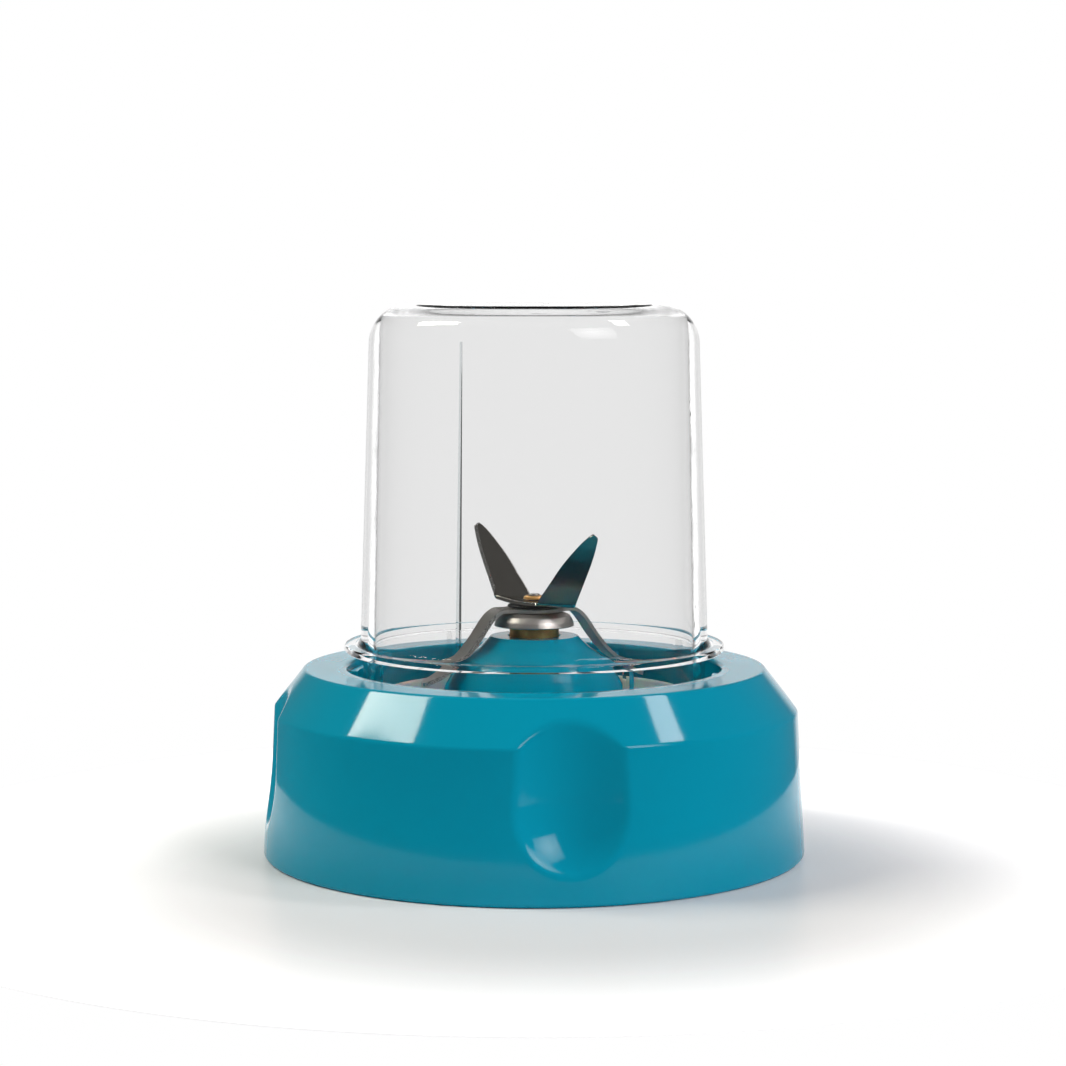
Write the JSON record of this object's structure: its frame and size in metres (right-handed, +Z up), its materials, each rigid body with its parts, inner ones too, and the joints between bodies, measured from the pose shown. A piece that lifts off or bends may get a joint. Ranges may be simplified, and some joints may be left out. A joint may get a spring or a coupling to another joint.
{
  "type": "blender mill attachment",
  "caption": "Dry-grinding attachment for a countertop blender: round base with finger scallops, stacked blades on a driven shaft, and a clear cup upside down over them that lifts and twists.",
  "frame": {"origin": "centre of the base's bottom rim, on the surface it stands on", "axes": "+Z up the shaft and cup axis; -Y towards one finger scallop, which is taken as the front"},
  "size_m": [0.126, 0.126, 0.127],
  "materials": {
    "teal_plastic": "moulded ABS, fine gloss",
    "clear_cup": "clear SAN plastic, polished mould",
    "silicone": "translucent white silicone",
    "brass": "turned brass",
    "bronze": "sintered bronze, oiled",
    "steel": "turned stainless steel",
    "cap_steel": "satin pressed stainless steel",
    "blade_steel": "rolled stainless sheet with ground edges",
    "black_plastic": "moulded glass-filled nylon",
    "gasket_rubber": "nitrile rubber",
    "washer_plastic": "natural acetal"
  },
  "bodies": {
    "base": {"base_housing": "teal_plastic", "bearing_housing": "brass", "bearing_gasket": "gasket_rubber", "lock_washer": "steel", "bearing_nut": "brass", "upper_bush": "bronze", "lower_bush": "bronze", "shaft_seal": "gasket_rubber", "upper_thrust_washer": "washer_plastic", "lower_thrust_washer": "washer_plastic"},
    "blade_rotor": {"shaft": "steel", "retaining_clip": "steel", "bell_cap": "cap_steel", "lower_blade": "blade_steel", "blade_spacer": "black_plastic", "upper_blade": "blade_steel", "blade_nut": "brass", "coupling_insert": "steel", "drive_coupling": "black_plastic", "coupling_pin": "steel"},
    "seal": {"cup_seal": "silicone"},
    "cup": {"mill_cup": "clear_cup"}
  },
  "joints": [
    {"name": "blade_spin", "type": "hinge", "parent": "base", "child": "blade_rotor", "pos_m": [0, 0, 0.055], "axis": [0, 0, 1], "continuous": true},
    {"name": "cup_lift", "type": "slide", "parent": "base", "child": "seal", "axis": [0, 0, 1], "range_m": [0, 0.06]},
    {"name": "cup_twist", "type": "hinge", "parent": "seal", "child": "cup", "pos_m": [0, 0, 0.045], "axis": [0, 0, 1], "range_deg": [-30, 0]}
  ]
}
